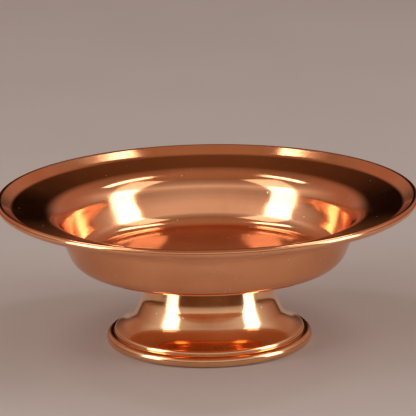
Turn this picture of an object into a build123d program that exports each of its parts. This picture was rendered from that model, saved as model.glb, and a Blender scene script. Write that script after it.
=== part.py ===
"""A small footed offering bowl, spun from copper sheet.

The dish is one spun shell: flat floor, leaning wall, wide brim and an upturned lip whose edge is
folded under. The foot is a second spun shell, a trumpet skirt on a wired bead. The foot's top flange is
brazed to the dish's underside. Lengths are millimetres and angles are degrees.
The origin is on the table, under the middle of the bowl, with +Z up the bowl's axis.
"""

import os
from math import atan2, cos, radians, sin, tan

from build123d import *

# ---- Driving dimensions: the dish -------------------------------------------------------------
bowl_height = 32.0  # table to the top of the lip
lip_radius = 45.0  # axis to the outside of the folded lip
dish_sheet = 0.8  # thickness of the dish's copper
floor_radius = 28.0  # inside corner where the floor meets the wall
floor_round = 4.0  # inside radius of that corner
mouth_radius = 31.65  # corner where the wall turns out into the brim
mouth_round = 2.0  # radius over that corner, on the upper side
brim_drop = 3.45  # top of the lip down to the brim's inner corner
band_width = 2.53  # the outermost band, from the fold in to where the brim starts
lip_slope = 37.0  # that band climbs this much
lip_curve = 2.0  # radius of the hollow between the brim and the band
hem_width = 1.1  # how far the folded edge runs back under the band

# ---- Driving dimensions: the foot -------------------------------------------------------------
foot_height = 17.0  # table to the underside of the dish
foot_sheet = 0.7  # thickness of the foot's metal
flange_bore = 9.0  # radius of the hole inside the top flange
neck_radius = 12.65  # corner between the top flange and the skirt
neck_round = 1.5  # outside radius of that bend
shoulder_radius = 20.4  # outside of the short upright band above the bead
shoulder_height = 3.0  # table to the shoulder's corner
shoulder_round = 0.9  # radius over the shoulder
flare_run = 3.11  # from the shoulder's corner in to the corner where the skirt flares out
flare_rise = 1.26  # from the shoulder's corner up to that corner
flare_reach = 2.67  # how far the hollow curve at that corner runs along each of its sides
wire_radius = 0.45  # the wire that the bead is rolled around
wire_clearance = 0.05  # gap between the wire and the sheet rolled round it
seam_gap = 0.08  # gap left between the curl's edge and the shoulder
land_depth = 0.08  # what is dressed off under the bead so that it stands flat
braze_leg = 0.7  # how far the braze creeps along each of the two pieces

# ---- Worked out: the dish's upper surface -----------------------------------------------------
floor_height = foot_height + dish_sheet
fold_centre = (lip_radius - dish_sheet, bowl_height - dish_sheet)
band_end = (
    fold_centre[0] - dish_sheet * sin(radians(lip_slope)),
    fold_centre[1] + dish_sheet * cos(radians(lip_slope)),
)
brim_corner = (
    band_end[0] - band_width * cos(radians(lip_slope)),
    band_end[1] - band_width * sin(radians(lip_slope)),
)
mouth_corner = (mouth_radius, bowl_height - brim_drop)

# ---- Worked out: the foot's outer surface -----------------------------------------------------
neck_corner = (neck_radius, foot_height)
shoulder_corner = (shoulder_radius, shoulder_height)
skirt_corner = (shoulder_radius - flare_run, shoulder_height + flare_rise)
skirt_fall = atan2(foot_height - skirt_corner[1], skirt_corner[0] - neck_radius)  # in radians
skirt_curve = flare_reach / tan((skirt_fall - atan2(flare_rise, flare_run)) / 2)
bead_bore = wire_radius + wire_clearance
bead_radius = bead_bore + foot_sheet
bead_centre = (shoulder_radius + bead_bore, bead_radius - land_depth)

# The dish: one spun shell, a thin section turned about the axis.
with BuildPart() as dish:
    with BuildSketch(Plane.XZ):
        with BuildLine():
            FilletPolyline(
                (0, floor_height),
                (floor_radius, floor_height),
                mouth_corner,
                brim_corner,
                band_end,
                radius=[floor_round, mouth_round, lip_curve],
            )
            offset(amount=dish_sheet, side=Side.RIGHT)
        make_face()
        # The edge is folded under: a doubled sheet with a round outer end.
        with Locations(fold_centre):
            Circle(dish_sheet)
            Rectangle(hem_width, 2 * dish_sheet, lip_slope, align=(Align.MAX, Align.CENTER))
    revolve(axis=Axis.Z)

# The foot: a second spun shell, with its lower edge curled outwards round a wire.
with BuildPart() as foot:
    with BuildSketch(Plane.XZ):
        with BuildLine():
            FilletPolyline(
                (flange_bore, foot_height),
                neck_corner,
                skirt_corner,
                shoulder_corner,
                (shoulder_radius, bead_centre[1]),
                radius=[neck_round, skirt_curve, shoulder_round],
            )
            offset(amount=foot_sheet, side=Side.RIGHT)
        make_face()
    revolve(axis=Axis.Z)
    with BuildSketch(Plane.XZ):
        with Locations(bead_centre):
            Circle(bead_radius)
            Circle(bead_bore, mode=Mode.SUBTRACT)
        # The curl's edge stops just short of the shoulder's upright band.
        with Locations((shoulder_radius + seam_gap, bead_centre[1])):
            Rectangle(
                2 * bead_radius,
                2 * bead_radius,
                align=(Align.MAX, Align.MIN),
                mode=Mode.SUBTRACT,
            )
    revolve(axis=Axis.Z)
    split(bisect_by=Plane.XY, keep=Keep.TOP)

# The wire inside the bead.
with BuildPart() as bead_wire:
    with BuildSketch(Plane.XZ):
        with Locations(bead_centre):
            Circle(wire_radius)
    revolve(axis=Axis.Z)

# The braze: a hollow-faced ring in the notch between the foot's bend and the dish.
bend_reach = neck_round * tan(skirt_fall / 2)
braze_on_dish = (neck_radius + braze_leg, foot_height)
braze_on_skirt = (
    neck_radius + (bend_reach + braze_leg) * cos(skirt_fall),
    foot_height - (bend_reach + braze_leg) * sin(skirt_fall),
)
with BuildPart() as braze_seam:
    with BuildSketch(Plane.XZ):
        with BuildLine():
            Line((neck_radius - bend_reach, foot_height), braze_on_dish)
            Bezier(braze_on_dish, neck_corner, braze_on_skirt)
            Line(braze_on_skirt, (neck_radius - bend_reach, foot_height))
        make_face()
    revolve(axis=Axis.Z)
    add(foot.part, mode=Mode.SUBTRACT)

# ---- Files: one STEP for each piece -----------------------------------------------------------
os.makedirs("parts", exist_ok=True)
for name, piece in (
    ("dish", dish.part),
    ("foot", foot.part),
    ("bead_wire", bead_wire.part),
    ("braze_seam", braze_seam.part),
):
    piece.label = name
    export_step(piece, f"parts/{name}.step")
    print(name, "volume", round(piece.volume, 1), "mm3")
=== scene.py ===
# %% [markdown]
# # A footed offering bowl, spun from copper sheet
# The bowl is four pieces: a spun dish, a spun foot, a wire rolled into the foot's bead, and the
# ring of braze that joins foot to dish. The CAD model is loaded first and is the fixed frame, so
# every new piece below is drawn in the same place and in the same units, metres, with the table
# at height zero and the bowl's axis on the world's Z axis.

# %% Load the frame
import math

import bpy
from mathutils import Matrix, Vector


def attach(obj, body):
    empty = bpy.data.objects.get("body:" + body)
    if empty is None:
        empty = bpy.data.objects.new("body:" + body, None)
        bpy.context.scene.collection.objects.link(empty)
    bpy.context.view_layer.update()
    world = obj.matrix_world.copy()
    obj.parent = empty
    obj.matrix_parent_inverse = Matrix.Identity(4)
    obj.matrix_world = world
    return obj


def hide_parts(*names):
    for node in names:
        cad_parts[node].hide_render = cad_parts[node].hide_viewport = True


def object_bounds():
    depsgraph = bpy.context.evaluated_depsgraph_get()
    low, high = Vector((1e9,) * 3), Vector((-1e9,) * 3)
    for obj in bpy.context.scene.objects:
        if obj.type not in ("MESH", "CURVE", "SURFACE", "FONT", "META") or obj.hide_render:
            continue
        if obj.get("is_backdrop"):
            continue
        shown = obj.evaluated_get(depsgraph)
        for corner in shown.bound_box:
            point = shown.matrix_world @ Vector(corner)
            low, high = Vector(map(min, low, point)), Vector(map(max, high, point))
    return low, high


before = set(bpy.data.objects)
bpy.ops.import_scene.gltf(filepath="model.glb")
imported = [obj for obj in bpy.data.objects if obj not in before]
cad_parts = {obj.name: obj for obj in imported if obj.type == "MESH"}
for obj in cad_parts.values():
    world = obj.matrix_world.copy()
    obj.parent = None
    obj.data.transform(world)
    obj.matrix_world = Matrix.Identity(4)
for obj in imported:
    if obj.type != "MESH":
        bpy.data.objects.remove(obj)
cad_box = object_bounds()
print("pieces in the frame:", sorted(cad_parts))

# %% [markdown]
# ## Units and a clean start
# A smith would give this bowl's sizes in millimetres, so they are written that way here and
# turned into metres at the last moment. Loading leaves the CAD pieces selected, and an operator
# acts on everything that is selected, so each step starts by letting go of everything.

# %% Millimetres and a clean start
MM = 0.001


def let_go():
    """Leaves edit mode and deselects every object."""
    if bpy.context.object and bpy.context.object.mode != "OBJECT":
        bpy.ops.object.mode_set(mode="OBJECT")
    bpy.ops.object.select_all(action="DESELECT")


let_go()
print("one millimetre is", MM, "m")

# %% [markdown]
# ## A spinner's section
# A metal spinner works to a section: half of the bowl cut through, with straight runs and round
# bends. It could be drawn as a curve, but in a mesh every bend can be made exactly, as with a
# compass. That needs the geometry of one bend: where it starts and ends, where its centre is, and
# how far it turns. All of it follows from the corner, its two neighbours and the bend's radius.

# %% A helper that measures a bend
def bend_at(before, corner, after, radius):
    """Where a bend starts and ends, its centre, and how far it turns."""
    start, here, end = Vector(before[:2]), Vector(corner[:2]), Vector(after[:2])
    way_in, way_out = (here - start).normalized(), (end - here).normalized()
    turn = math.atan2(way_in.x * way_out.y - way_in.y * way_out.x, way_in.dot(way_out))
    reach = radius * math.tan(abs(turn) / 2)
    to_centre = Vector((-way_in.y, way_in.x)) * math.copysign(radius, turn)
    first = here - way_in * reach
    return first, here + way_out * reach, first + to_centre, turn


example_turn = bend_at((0, 0), (10, 0), (10, 10), 2.0)[3]
print("a square corner turns", round(math.degrees(example_turn)), "degrees")

# %% [markdown]
# ## Drawing runs and bends
# The section starts as a single point, a plane merged at its centre. The point is extruded along
# each straight run and spun about the bend's centre at each bend. A run gets a few extra points
# near its ends, so that smooth shading doesn't spread a bend's turn over the flat beside it. A
# tiny bend gets coarser steps than a wide one: it shows too little to need more, and the finished
# piece stays light.

# %% Helpers that draw a section
RUN_SHARES = (0.04, 0.3, 0.7, 0.96, 1.0)  # how far along a run its points lie
SMALL_BEND = 3.0  # a radius in millimetres; a bend below it is tiny
BEND_STEP, SMALL_BEND_STEP = 2.5, 5.0  # degrees turned by each short chord of a bend
FEWEST_STEPS = 3


def run_to(pen, goal):
    """Extrudes the point at pen along a straight run to goal."""
    at = pen
    for share in RUN_SHARES:
        stop = pen.lerp(goal, share)
        move = {"value": ((stop.x - at.x) * MM, 0, (stop.y - at.y) * MM)}
        bpy.ops.mesh.extrude_region_move(TRANSFORM_OT_translate=move)
        at = stop


def round_bend(centre, turn, radius):
    """Spins the point at the pen about a bend's centre."""
    step = SMALL_BEND_STEP if radius < SMALL_BEND else BEND_STEP
    bpy.ops.mesh.spin(
        steps=max(FEWEST_STEPS, round(abs(math.degrees(turn)) / step)),
        angle=turn,
        center=(centre.x * MM, 0, centre.y * MM),
        axis=(0, 1, 0),
    )


def draw_section(name, corners, closed=False):
    """A mesh of one line. Each corner is (radius, height, bend's radius), in millimetres."""
    let_go()
    across, height = corners[0][:2]
    bpy.ops.mesh.primitive_plane_add(size=MM, location=(across * MM, 0, height * MM))
    piece = bpy.context.object
    piece.name = piece.data.name = name
    bpy.ops.object.transform_apply(location=True, rotation=True, scale=True)
    bpy.ops.object.mode_set(mode="EDIT")
    bpy.ops.mesh.select_all(action="SELECT")
    bpy.ops.mesh.merge(type="CENTER")
    pen = Vector((across, height))
    last_corner = corners[0] if closed else corners[-1]
    line = list(corners) + ([last_corner] if closed else [])
    for before, here, after in zip(line, line[1:], line[2:]):
        first, last, centre, turn = bend_at(before, here, after, here[2])
        run_to(pen, first)
        round_bend(centre, turn, here[2])
        pen = last
    run_to(pen, Vector(last_corner[:2]))
    bpy.ops.object.mode_set(mode="OBJECT")
    print(name, "section:", len(piece.data.vertices), "points")
    return piece


# %% [markdown]
# ## The sheet's other face
# Both faces of a sheet are parallel, so the second face needs no drawing of its own. Solidify
# could thicken a finished surface, but with both faces in one section the fold and the curl can
# join them with true bends. Each corner moves square to its two runs by the sheet's thickness. A
# bend grows by that much on its outer side and shrinks by it on its inner side.

# %% A helper for the other face
TIGHTEST_BEND = 0.1  # millimetres; a bend's inner side never gets sharper than this


def other_face(line, sheet):
    """The corners of the face that lies a sheet's thickness to the right of a line."""
    places = [Vector(corner[:2]) for corner in line]
    ways = [(end - start).normalized() for start, end in zip(places, places[1:])]
    moved = []
    for corner, here, way_in, way_out in zip(line, places, ways[:1] + ways, ways + ways[-1:]):
        turn = way_in.x * way_out.y - way_in.y * way_out.x
        right = Vector((way_in.y, -way_in.x)) + Vector((way_out.y, -way_out.x))
        here = here + right * (sheet / (1 + way_in.dot(way_out)))
        radius = max(corner[2] + math.copysign(sheet, turn), TIGHTEST_BEND)
        moved.append((here.x, here.y, radius))
    return moved


level_sheet = other_face([(0, 1, 0), (10, 1, 0)], 0.8)
print("a sheet at height 1.0 mm has its other face at", round(level_sheet[0][1], 2), "mm")

# %% [markdown]
# ## Turning the section on the lathe
# Spin does what the lathe does: it carries the section once round the axis. A Screw modifier
# would do the same, but the seam and the poles need a hand either way. The last copy lies on the
# first, and points on the axis pile up at the pole, so doubles are merged, and then the normals
# are made to point outwards. Smooth shading hides the short chords of each bend.

# %% A helper that spins the section
TURNS = 256  # copies of the section in one turn of the lathe
SAME_PLACE = 0.003  # millimetres; points closer than this are merged


def on_the_lathe(piece):
    """Spins a section once round the Z axis, and closes the seam and the poles."""
    bpy.ops.object.mode_set(mode="EDIT")
    bpy.ops.mesh.select_all(action="SELECT")
    bpy.ops.mesh.spin(steps=TURNS, angle=math.tau, center=(0, 0, 0), axis=(0, 0, 1))
    bpy.ops.mesh.select_all(action="SELECT")
    bpy.ops.mesh.remove_doubles(threshold=SAME_PLACE * MM)
    bpy.ops.mesh.normals_make_consistent(inside=False)
    bpy.ops.object.mode_set(mode="OBJECT")
    bpy.ops.object.shade_smooth()
    heights = [vertex.co.z / MM for vertex in piece.data.vertices]
    widest = max(vertex.co.x / MM for vertex in piece.data.vertices)
    print(piece.name, "faces:", len(piece.data.polygons))
    print(piece.name, "radius", round(widest, 2), "mm, from", round(min(heights), 2), end=" ")
    print("to", round(max(heights), 2), "mm above the table")


print("one turn takes", TURNS, "steps of", round(360 / TURNS, 2), "degrees")

# %% [markdown]
# ## The dish's sizes
# The dish is one disc of copper spun over a former: a flat floor, a leaning wall, a wide brim,
# and a lip that turns up and is folded under so that no sharp edge is left. On a mirror finish a
# bend's radius is what decides how high and how soft its highlight is, so the radii matter as much
# as the widths. The mouth's bend is wide, and the wall has a slight belly, because the light fades
# softly down the wall and over the mouth.

# %% Sizes of the dish, in millimetres
BOWL_HEIGHT = 32.0  # table to the top of the lip
FOOT_HEIGHT = 17.0  # table to the underside of the dish
LIP_RADIUS = 45.0  # axis to the outside of the folded lip
DISH_SHEET = 0.8  # thickness of the copper
FLOOR_RADIUS, FLOOR_BEND = 28.0, 4.0  # where the floor meets the wall
WALL_BELLY, BELLY_BEND = 0.34, 20.0  # the wall's middle corner, set out from a straight line
MOUTH_RADIUS, MOUTH_BEND = 31.65, 5.5  # where the wall turns out into the brim
BRIM_DROP = 3.45  # top of the lip down to the brim's inner corner
LIP_SLOPE = math.radians(37.0)  # the outermost band climbs this much
BAND_WIDTH, BAND_BEND = 2.53, 2.0  # that band, and the hollow where the brim meets it
HEM_WIDTH = 1.1  # how far the folded edge runs back under the band
HEM_ROUNDS = (0.3, 0.1)  # the lower and the upper corner of the hem's end
JUST_UNDER = 0.98  # of the full radius, for two bends that would otherwise touch
FLOOR_HEIGHT = FOOT_HEIGHT + DISH_SHEET
print("the dish is", BOWL_HEIGHT - FOOT_HEIGHT, "mm deep over all")

# %% [markdown]
# ## The lip's corners
# The lip's band leans, so its corners are awkward in widths and heights. They are measured from
# the middle of the fold instead, along the band and square to it, as with a tilted ruler.

# %% A helper for places on the lip
fold = Vector((LIP_RADIUS - DISH_SHEET, BOWL_HEIGHT - DISH_SHEET))
along = Vector((math.cos(LIP_SLOPE), math.sin(LIP_SLOPE)))
above = Vector((-along.y, along.x))


def from_fold(outwards, upwards, radius):
    """A corner measured from the middle of the fold, along the lip's band and square to it."""
    place = fold + along * outwards + above * upwards
    return (place.x, place.y, radius)


print("the fold's middle is", round(fold.x, 2), "mm out and", round(fold.y, 2), "mm up")

# %% [markdown]
# ## The dish
# The dish could be a subdivided cylinder, but a mirror shows every wobble of a subdivided
# surface. So both faces are drawn as one line, which starts on the axis, goes out over the floor,
# wall, brim and fold, and comes back underneath to the axis. One spin then makes a closed shell.

# %% Draw and spin the dish
wall_foot = Vector((FLOOR_RADIUS, FLOOR_HEIGHT))
wall_top = Vector((MOUTH_RADIUS, BOWL_HEIGHT - BRIM_DROP))
up_wall = (wall_top - wall_foot).normalized()
belly = wall_foot.lerp(wall_top, 0.5) + Vector((up_wall.y, -up_wall.x)) * WALL_BELLY
upper = [
    (0, FLOOR_HEIGHT, 0),
    (*wall_foot, FLOOR_BEND),
    (*belly, BELLY_BEND),
    (*wall_top, MOUTH_BEND),
    from_fold(-BAND_WIDTH, DISH_SHEET, BAND_BEND),
]
under = other_face(upper + [from_fold(0, DISH_SHEET, 0)], DISH_SHEET)
lip = [
    from_fold(DISH_SHEET, DISH_SHEET, DISH_SHEET * JUST_UNDER),
    from_fold(DISH_SHEET, -DISH_SHEET, DISH_SHEET * JUST_UNDER),
    from_fold(-HEM_WIDTH, -DISH_SHEET, HEM_ROUNDS[0]),
    from_fold(-HEM_WIDTH, 0, HEM_ROUNDS[1]),
]
dish = draw_section("spun_dish", upper + lip + under[-2:0:-1] + [(0, FOOT_HEIGHT, 0)])
on_the_lathe(dish)

# %% [markdown]
# ## The foot's sizes
# The foot is a second spun shell: a flange that lies against the dish, a bend, a skirt, a short
# upright band, and an edge curled outwards round a wire. The skirt is steep under the neck and
# leans out lower down, like a trumpet's bell. One long arc could give a bell too, but straight runs
# with wide bends between them let each highlight on the skirt be placed by itself.

# %% Sizes of the foot, in millimetres
FOOT_SHEET = 0.7  # thickness of the foot's metal
FLANGE_BORE = 9.0  # radius of the hole inside the top flange
NECK_RADIUS, NECK_BEND = 12.65, 1.5  # where the flange turns down into the skirt
WAIST_RADIUS, WAIST_HEIGHT, WAIST_BEND = 13.95, 10.2, 7.0  # where the skirt starts to lean out
FLARE_RADIUS, FLARE_HEIGHT, FLARE_BEND = 16.85, 4.6, 6.5  # where it flares towards the shoulder
SHOULDER_RADIUS, SHOULDER_HEIGHT, SHOULDER_BEND = 20.4, 3.0, 0.9
BORE = 0.5  # radius of the space that the wire lies in
LAND = 0.08  # what is dressed off under the bead so that it stands flat
SEAM_GAP = 0.08  # left between the curl's edge and the upright band
EDGE_ROUNDS = (0.06, 0.12)  # the curl's edge, at its inner and outer face
BEAD_ROUND, LAND_ROUND = 1.18, 1.06  # the bead's outside above the wire, and down at the table
WIRE_HEIGHT = BORE + FOOT_SHEET - LAND
print("the wire's middle is", round(WIRE_HEIGHT, 2), "mm above the table")

# %% [markdown]
# ## The foot
# The curl makes the foot stiff and gives it a smooth bead to stand on. It could be a plain ring
# set against the skirt, but a spinner rolls it from the same sheet, so the section simply goes on
# round the wire and stops just short of the upright band. This section never meets the axis, so
# it is closed on itself.

# %% Draw and spin the foot
skirt = [
    (FLANGE_BORE, FOOT_HEIGHT, 0),
    (NECK_RADIUS, FOOT_HEIGHT, NECK_BEND),
    (WAIST_RADIUS, WAIST_HEIGHT, WAIST_BEND),
    (FLARE_RADIUS, FLARE_HEIGHT, FLARE_BEND),
    (SHOULDER_RADIUS, SHOULDER_HEIGHT, SHOULDER_BEND),
    (SHOULDER_RADIUS, WIRE_HEIGHT, 0),
]
inside = other_face(skirt, FOOT_SHEET)
bore_low, bore_high = WIRE_HEIGHT - BORE, WIRE_HEIGHT + BORE
bore_out, bead_out = SHOULDER_RADIUS + 2 * BORE, SHOULDER_RADIUS + 2 * BORE + FOOT_SHEET
bead_top, seam = bore_high + FOOT_SHEET, SHOULDER_RADIUS + SEAM_GAP
curl = [
    (SHOULDER_RADIUS, bore_low, BORE * JUST_UNDER),
    (bore_out, bore_low, BORE * JUST_UNDER),
    (bore_out, bore_high, BORE * JUST_UNDER),
    (seam, bore_high, EDGE_ROUNDS[0]),
    (seam, bead_top, EDGE_ROUNDS[1]),
    (bead_out, bead_top, BEAD_ROUND),
    (bead_out, 0, LAND_ROUND),
    (SHOULDER_RADIUS - FOOT_SHEET, 0, LAND_ROUND),
]
foot = draw_section("spun_foot", skirt[:-1] + curl + inside[-2::-1], closed=True)
on_the_lathe(foot)

# %% [markdown]
# ## Which pieces stand for which
# Each shell now stands where a CAD solid already is, and both would show at once. So each one is
# put on the body it rides on, and the CAD solid that it replaces is hidden. Their finishes come
# further down. The wire inside the bead and the braze keep their CAD shape, which is right as it
# is, and only get a finish.

# %% Put the new pieces on the body
for piece, node in ((dish, "dish"), (foot, "foot")):
    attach(piece, "root")
    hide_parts(node)
    print(piece.name, "stands for", node)

# %% [markdown]
# ## Nodes by the handful
# A finish is a small web of shader nodes. In the window they are added and joined by hand. Here a
# helper adds one node, makes its settings, fills in its inputs and plugs other nodes into it, so
# that each line below reads as one node.

# %% A helper that adds a node
def add_node(tree, kind, values=None, feeds=None, **settings):
    """Adds a shader node with its settings, the values of its inputs, and what feeds them."""
    node = tree.nodes.new("ShaderNode" + kind)
    for setting, value in settings.items():
        setattr(node, setting, value)
    for socket, value in (values or {}).items():
        node.inputs[socket].default_value = value
    for socket, output in (feeds or {}).items():
        tree.links.new(output, node.inputs[socket])
    return node


print(add_node.__doc__)

# %% [markdown]
# ## Tarnish
# Between two polishings, air and hands turn copper browner in large soft patches. A painted
# picture could show them, but it would have a seam somewhere on a round bowl. A noise in the
# object's own coordinates has no seam, and it stays on the metal from every side.

# %% A helper for tarnish
BROWN_BELOW, BRIGHT_ABOVE = 0.36, 0.62  # of the noise's height


def tarnish(tree, where, bright, tarnished):
    """A tint that drifts from a clean one to a browner one."""
    patches = add_node(
        tree,
        "TexNoise",
        {"Scale": 55.0, "Detail": 4.0, "Roughness": 0.6},
        {"Vector": where},
    )
    tint = add_node(tree, "ValToRGB", feeds={"Fac": patches.outputs["Fac"]})
    brown_end, bright_end = tint.color_ramp.elements
    brown_end.position, bright_end.position = BROWN_BELOW, BRIGHT_ABOVE
    brown_end.color, bright_end.color = (*tarnished, 1), (*bright, 1)
    return tint.outputs["Color"]


print("tarnish: brown below", BROWN_BELOW, "and bright above", BRIGHT_ABOVE)

# %% [markdown]
# ## Dust
# Dust lies on a bowl as single specks. They could be small meshes, but they would cost more than
# the bowl. Voronoi cells give every speck a place of its own, and each cell's own colour, which is
# different in every cell, decides whether it holds a speck at all.

# %% A helper for dust
SPECK_EDGE, SPECK_CORE = 0.16, 0.07  # of a cell's size, out from the cell's middle
DUST_TINT = (0.9, 0.72, 0.55, 1)


def dust(tree, where, amount):
    """1 on a speck of dust and 0 beside it. The amount is the share of cells with a speck."""
    specks = add_node(tree, "TexVoronoi", {"Scale": 900.0}, {"Vector": where})
    near = add_node(
        tree,
        "MapRange",
        {"From Min": SPECK_EDGE, "From Max": SPECK_CORE},
        {"Value": specks.outputs["Distance"]},
    )
    cell = add_node(tree, "SeparateColor", feeds={"Color": specks.outputs["Color"]})
    chosen = add_node(tree, "Math", {1: amount}, {0: cell.outputs["Red"]}, operation="LESS_THAN")
    both = {0: near.outputs["Result"], 1: chosen.outputs["Value"]}
    speck = add_node(tree, "Math", feeds=both, operation="MULTIPLY")
    return speck.outputs["Value"]


print("the specks' tint is", DUST_TINT[:3])

# %% [markdown]
# ## Haze
# No hand-polished mirror is equally clear all over. One roughness for the whole piece would look
# like plated plastic, so a second, finer noise lets it drift a little, and it is much duller where
# a speck of dust lies.

# %% A helper for haze
CLEAREST, HAZIEST = 0.75, 1.5  # of the metal's own roughness
SPECK_DULLS = 0.35  # added to the roughness on a speck


def haze(tree, where, roughness, speck):
    """A roughness that drifts a little, with dull specks."""
    clouds = add_node(tree, "TexNoise", {"Scale": 160.0, "Detail": 5.0}, {"Vector": where})
    drift = add_node(
        tree,
        "MapRange",
        {
            "From Min": 0.35,
            "From Max": 0.7,
            "To Min": roughness * CLEAREST,
            "To Max": roughness * HAZIEST,
        },
        {"Value": clouds.outputs["Fac"]},
    )
    ways = {0: speck, 2: drift.outputs["Result"]}
    dulled = add_node(tree, "Math", {1: SPECK_DULLS}, ways, operation="MULTIPLY_ADD")
    return dulled.outputs["Value"]


print("haze: between", CLEAREST, "and", HAZIEST, "of the roughness")

# %% [markdown]
# ## Lathe rings
# The spinner's tool leaves fine rings round the axis. They could be cut into the mesh, but they
# are far finer than its faces, so a bump gives them. Its noise is read along the distance from the
# axis and the height only, and so it is the same all the way round.

# %% A helper for lathe rings
def lathe_rings(tree, where, depth):
    """Normals that ripple in rings round the Z axis, up to a depth in metres."""
    split = add_node(tree, "SeparateXYZ", feeds={"Vector": where})
    level = {"X": split.outputs["X"], "Y": split.outputs["Y"]}
    flat = add_node(tree, "CombineXYZ", feeds=level)
    out = add_node(tree, "VectorMath", feeds={0: flat.outputs["Vector"]}, operation="LENGTH")
    in_section = {"X": out.outputs["Value"], "Z": split.outputs["Z"]}
    section = add_node(tree, "CombineXYZ", feeds=in_section)
    rings = add_node(
        tree,
        "TexNoise",
        {"Scale": 1400.0, "Detail": 2.0},
        {"Vector": section.outputs["Vector"]},
    )
    bump = add_node(
        tree,
        "Bump",
        {"Strength": 1.0, "Distance": depth},
        {"Height": rings.outputs["Fac"]},
    )
    return bump.outputs["Normal"]


print("rings are read from the distance from the axis and the height")

# %% [markdown]
# ## Polished metal
# Polished copper is a mirror with a tint: all of its colour comes from what it reflects. A plain
# yellow or red paint can't do that, so the metal is fully metallic and nearly smooth, and the four
# marks of making and use above are plugged into its colour, its roughness and its normals.

# %% A helper that makes a polished metal
def polished(name, bright, tarnished, roughness, ring_depth, dust_amount):
    """A metal with patches of tarnish, a haze, fine lathe rings and specks of dust."""
    metal = bpy.data.materials.new(name)
    metal.use_nodes = True
    tree = metal.node_tree
    shader = tree.nodes["Principled BSDF"]
    shader.inputs["Metallic"].default_value = 1.0
    where = add_node(tree, "TexCoord").outputs["Object"]
    speck = dust(tree, where, dust_amount)
    dusted = {"Factor": speck, "A": tarnish(tree, where, bright, tarnished)}
    tint = add_node(tree, "Mix", {"B": DUST_TINT}, dusted, data_type="RGBA")
    tree.links.new(tint.outputs["Result"], shader.inputs["Base Color"])
    tree.links.new(haze(tree, where, roughness, speck), shader.inputs["Roughness"])
    tree.links.new(lathe_rings(tree, where, ring_depth), shader.inputs["Normal"])
    print(name, "roughness about", roughness)
    return metal


# %% [markdown]
# ## The finishes
# The dish is red copper and the foot a yellower alloy, as their reflections show. The mirror in the
# well is a little softer, as wiping makes it. The floor of the well gets a darker copper tint,
# which is painted shade for the dim bottom of the well.
# The braze and the wire are duller, because nobody polishes into a notch or inside a bead. Only
# these numbers differ, so each finish is one call of the same helper.

# %% Mix the metals
COPPER, OLD_COPPER = (0.94, 0.45, 0.23), (0.86, 0.38, 0.18)
# painted shade: the well's floor gets this darker copper tint
FLOOR_SHADE_COPPER, OLD_FLOOR_SHADE_COPPER = (0.70, 0.30, 0.13), (0.58, 0.24, 0.10)
BRASS, OLD_BRASS = (0.93, 0.54, 0.29), (0.85, 0.45, 0.22)
WIRE, OLD_WIRE = (0.72, 0.50, 0.24), (0.5, 0.32, 0.15)
BRAZE, OLD_BRAZE = (0.78, 0.5, 0.3), (0.5, 0.28, 0.16)
FINE_RINGS, FOOT_RINGS, FILE_MARKS = 2e-6, 3e-6, 8e-6  # metres deep

# Each line: name, clean tint, tarnished tint, roughness, depth of the rings, share of dusty cells.
outside = polished("dish copper", COPPER, OLD_COPPER, 0.10, FINE_RINGS, 0.05)
inside_well = polished("wiped copper", COPPER, OLD_COPPER, 0.12, FINE_RINGS, 0.03)
# painted shade: the well's floor wears a darker copper than the wall
shaded_well_floor = polished("painted shade copper", FLOOR_SHADE_COPPER, OLD_FLOOR_SHADE_COPPER, 0.16, FINE_RINGS, 0.03)
foot_metal = polished("foot brass", BRASS, OLD_BRASS, 0.11, FOOT_RINGS, 0.04)
wire_metal = polished("wire brass", WIRE, OLD_WIRE, 0.35, FINE_RINGS, 0.02)
braze_metal = polished("braze", BRAZE, OLD_BRAZE, 0.28, FILE_MARKS, 0.02)

# %% [markdown]
# ## Who wears what
# A mesh keeps a list of materials, and each of its faces says which place in the list it wears.
# The new pieces have no finish yet and the CAD pieces have a plain one, so every list is emptied
# first. The shape of the wire and the braze stays as the CAD model gives it.

# %% Give each piece its metals
wire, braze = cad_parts["bead_wire"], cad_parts["braze_seam"]
finishes = {
    dish: [outside, inside_well, shaded_well_floor],
    foot: [foot_metal],
    wire: [wire_metal],
    braze: [braze_metal],
}
for piece, metals in finishes.items():
    piece.data.materials.clear()
    for metal in metals:
        piece.data.materials.append(metal)
    print(piece.name, "wears", ", ".join(metal.name for metal in metals))

# %% [markdown]
# ## The wiped well
# The dish is one sheet, so the well isn't a piece of its own. A mask painted over the material
# could mark it, but choosing faces by their place and direction needs no picture. Every face that
# looks up or in, as far out as the mouth's bend, wears the dish's second metal, and on the floor
# its third, a darker copper that is painted shade.

# %% Choose the faces of the well
ON_WELL, ON_SHADED_FLOOR = 1, 2  # places in the dish's list of metals
WELL_REACH, FLOOR_REACH = 35.0, 26.5  # millimetres out from the axis
LOOKS_UP = 0.5  # a face whose normal climbs at least this much

for face in dish.data.polygons:
    out = Vector((face.center.x, face.center.y, 0))
    looks_in = face.normal.dot(out) < 0 or face.normal.z > LOOKS_UP
    if looks_in and out.length < WELL_REACH * MM:
        # a face on the floor wears the darker copper that is painted shade
        face.material_index = ON_SHADED_FLOOR if out.length < FLOOR_REACH * MM else ON_WELL
print("faces of the well:", sum(face.material_index > 0 for face in dish.data.polygons))

# %% [markdown]
# ## The table
# The bowl stands on a plain pale table. A box with legs could be built, but a disc much wider than
# the picture is all that shows. A faint mottle makes it painted wood rather than paper. It isn't
# part of the object, so it is marked as stage.

# %% Lay the table
TABLE_RADIUS = 1.6  # metres
DARKER_PAINT, LIGHTER_PAINT = (0.49, 0.455, 0.43, 1), (0.54, 0.505, 0.48, 1)

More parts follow.
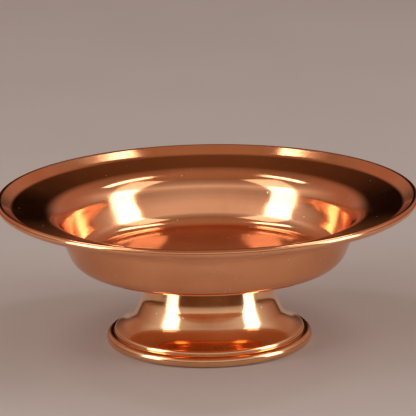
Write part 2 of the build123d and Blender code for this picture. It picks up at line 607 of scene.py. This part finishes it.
let_go()
bpy.ops.mesh.primitive_circle_add(vertices=128, radius=TABLE_RADIUS, fill_type="NGON")
table = bpy.context.object
table.name = "table"
table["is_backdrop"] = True
paint = bpy.data.materials.new("pale table")
paint.use_nodes = True
place = add_node(paint.node_tree, "TexCoord").outputs["Object"]
mottle = add_node(paint.node_tree, "TexNoise", {"Scale": 18.0}, {"Vector": place})
shade = add_node(paint.node_tree, "ValToRGB", feeds={"Fac": mottle.outputs["Fac"]})
shade.color_ramp.elements[0].color = DARKER_PAINT
shade.color_ramp.elements[1].color = LIGHTER_PAINT
painted = paint.node_tree.nodes["Principled BSDF"]
painted.inputs["Roughness"].default_value = 0.7
paint.node_tree.links.new(shade.outputs["Color"], painted.inputs["Base Color"])
table.data.materials.append(paint)
print("the table is", 2 * TABLE_RADIUS, "m across")

# %% [markdown]
# ## Softboxes
# A mirror shows the room, so the lamps are as much part of the finish as the metal. A point lamp
# would show in it as a dot, so these are area lamps, whose size is the size of what shines. A tall
# softbox on each side draws the bright panels on the inner wall and on the foot. A dimmer spill
# lamp above each lets its panel fade over the mouth's bend instead of ending at an edge. Two small
# high lamps, a little behind the bowl, light the lip's band and draw a thin glint above each panel.

# %% Hang the softboxes
LAMP_AIM = Vector((0, 0, 0.025))  # metres; inside the dish
WARM_WHITE = (1.0, 0.96, 0.93)


def softbox(name, azimuth, elevation, distance, size, radiance):
    """An area lamp that faces the bowl. Azimuth 0 is the camera's side, and 90 the right."""
    turn, climb = math.radians(azimuth), math.radians(elevation)
    level = math.cos(climb)
    way = Vector((math.sin(turn) * level, -math.cos(turn) * level, math.sin(climb)))
    bpy.ops.object.light_add(type="AREA", location=LAMP_AIM + way * distance)
    lamp = bpy.context.object
    lamp.name = name
    lamp.rotation_euler = way.to_track_quat("Z", "Y").to_euler()
    lamp.data.shape = "RECTANGLE"
    lamp.data.size, lamp.data.size_y = size
    lamp.data.energy = radiance * math.pi * size[0] * size[1]
    lamp.data.color = WARM_WHITE
    print(name, "at", azimuth, "degrees,", round(lamp.data.energy, 2), "W")


# Each line: name, azimuth and elevation in degrees, distance and size in metres, brightness.
softbox("left softbox", -67, 13, 0.70, (0.28, 0.52), 4.4)
softbox("left spill", -67, 42, 0.74, (0.34, 0.54), 1.2)
softbox("right softbox", 75, 13, 0.70, (0.27, 0.52), 4.4)
softbox("right spill", 75, 42, 0.74, (0.33, 0.54), 1.2)
softbox("left high lamp", -118, 60, 0.70, (0.10, 0.22), 4.6)
softbox("right high lamp", 119, 59, 0.70, (0.10, 0.26), 4.6)

# %% [markdown]
# ## The room's walls
# The rest of what the metal shows is the room. It could be built and lit, but a ramp of colours
# over the height of a direction says the same in a few lines. There are three. The near wall,
# behind the camera, is pale, and brightest at about the height that the inner wall sees. The far
# wall is dark, which makes the brim dark. The far corners are rusty, which warms the two ends of
# the mouth's bend and of the lip's band. All three share an amber ceiling, which lights the lip's
# band at the back and the floor of the well.

# %% Paint the three walls
room = bpy.data.worlds.new("studio room")
room.use_nodes = True
tree = room.node_tree
direction = add_node(tree, "TexCoord").outputs["Generated"]
split = add_node(tree, "SeparateXYZ", feeds={"Vector": direction})


def wall_light(stops):
    """A ramp over a direction's height: 0 is level and 1 is straight up."""
    ramp = add_node(tree, "ValToRGB", feeds={"Fac": split.outputs["Z"]})
    while len(ramp.color_ramp.elements) < len(stops):
        ramp.color_ramp.elements.new(0.5)
    for element, (rise, strength, tint) in zip(ramp.color_ramp.elements, stops):
        element.position = rise
        element.color = (*(strength * part for part in tint), 1)
    return ramp.outputs["Color"]


CREAM, AMBER = (1.0, 0.87, 0.84), (1.0, 0.60, 0.42)
WOOD, RUST = (1.0, 0.44, 0.20), (1.0, 0.54, 0.40)
CEILING = (0.98, 0.34, AMBER)

# Each stop: height of the direction, strength of the light, tint.
near = wall_light(
    [
        (0.0, 0.07, WOOD),
        (0.13, 0.16, WOOD),
        (0.20, 0.38, CREAM),
        (0.28, 0.50, CREAM),
        (0.37, 0.60, CREAM),
        (0.49, 0.74, CREAM),
        (0.60, 0.50, CREAM),
        (0.70, 0.36, CREAM),
        (0.88, 0.28, AMBER),
        CEILING,
    ]
)
far = wall_light(
    [
        (0.0, 0.10, WOOD),
        (0.10, 0.05, WOOD),
        (0.18, 0.006, WOOD),
        (0.32, 0.010, WOOD),
        (0.54, 0.12, WOOD),
        (0.87, 0.25, AMBER),
        CEILING,
    ]
)
corners = wall_light(
    [
        (0.0, 0.06, WOOD),
        (0.10, 0.28, RUST),
        (0.20, 0.38, RUST),
        (0.66, 0.36, RUST),
        (0.80, 0.27, AMBER),
        CEILING,
    ]
)
print("three walls, and a ceiling of strength", CEILING[1])

# %% [markdown]
# ## Joining the walls
# Real walls meet at an edge, but an edge in the room would be a line in the metal. So the far wall
# melts into the corners by how far a direction is off-centre, and the near wall into both of them
# from front to back.

# %% Mix the walls and light the room
CORNERS_START, CORNERS_FULL = 0.06, 0.42  # off-centre, where 1 is straight left or right
FRONT_END, BACK_START = -0.10, 0.75  # front to back, where 1 is straight back


def melt(amount, start, full, from_light, to_light):
    """Mixes two lights softly while an amount grows from start to full."""
    share = add_node(
        tree,
        "MapRange",
        {"From Min": start, "From Max": full},
        {"Value": amount},
        interpolation_type="SMOOTHSTEP",
    )
    lights = {"Factor": share.outputs["Result"], "A": from_light, "B": to_light}
    melted = add_node(tree, "Mix", feeds=lights, data_type="RGBA")
    return melted.outputs["Result"]


off_centre = add_node(tree, "Math", feeds={0: split.outputs["X"]}, operation="ABSOLUTE")
back = melt(off_centre.outputs["Value"], CORNERS_START, CORNERS_FULL, far, corners)
all_round = melt(split.outputs["Y"], FRONT_END, BACK_START, near, back)
tree.links.new(all_round, tree.nodes["Background"].inputs["Color"])
bpy.context.scene.world = room
bpy.context.scene.view_settings.view_transform = "Standard"
print("the room is lit with", len(tree.nodes), "nodes")

# %% [markdown]
# ## The camera
# The lip's ellipse in a picture gives the camera away: its height to width gives how steeply the
# camera looks down, and the difference between its near and far halves gives the distance. It
# could be placed by eye, but a mirror shows another part of the room for every degree. Here the
# tilt is just under 15 degrees, with a long lens from three quarters of a metre.

# %% Set up the camera
TILT, ROLL = math.radians(14.914), -0.0167  # down, and about the view, in radians
DISTANCE, AIM_HEIGHT = 767.0, 28.96  # millimetres
PICTURE, FOCAL_PIXELS, AXIS_COLUMN = 416, 3600.0, 207.3  # in pixels of the picture
SENSOR = 36.0  # millimetres wide

sideways = (PICTURE / 2 - AXIS_COLUMN) * DISTANCE / FOCAL_PIXELS
backwards = -DISTANCE * math.cos(TILT)
upwards = AIM_HEIGHT + DISTANCE * math.sin(TILT)
bpy.ops.object.camera_add(location=(sideways * MM, backwards * MM, upwards * MM))
camera = bpy.context.object
camera.data.sensor_width = SENSOR
camera.data.lens = FOCAL_PIXELS / PICTURE * SENSOR
camera.data.clip_end = 20.0
tip, twist = Matrix.Rotation(math.radians(90) - TILT, 3, "X"), Matrix.Rotation(ROLL, 3, "Z")
camera.rotation_euler = (tip @ twist).to_euler()
bpy.context.scene.camera = camera
print("lens", round(camera.data.lens, 1), "mm from", DISTANCE, "mm away")

# %% [markdown]
# ## Does it still fit the frame?
# The dressed model is meant to keep the CAD model's size. It could be judged by eye, but two boxes
# written side by side can be compared to a hundredth of a millimetre.

# %% Compare the two boxes and finish
new_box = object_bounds()
sizes = {"cad": [list(corner) for corner in cad_box], "scene": [list(corner) for corner in new_box]}
for name, (low, high) in sizes.items():
    print(name, [round((b - a) / MM, 2) for a, b in zip(low, high)], "mm")
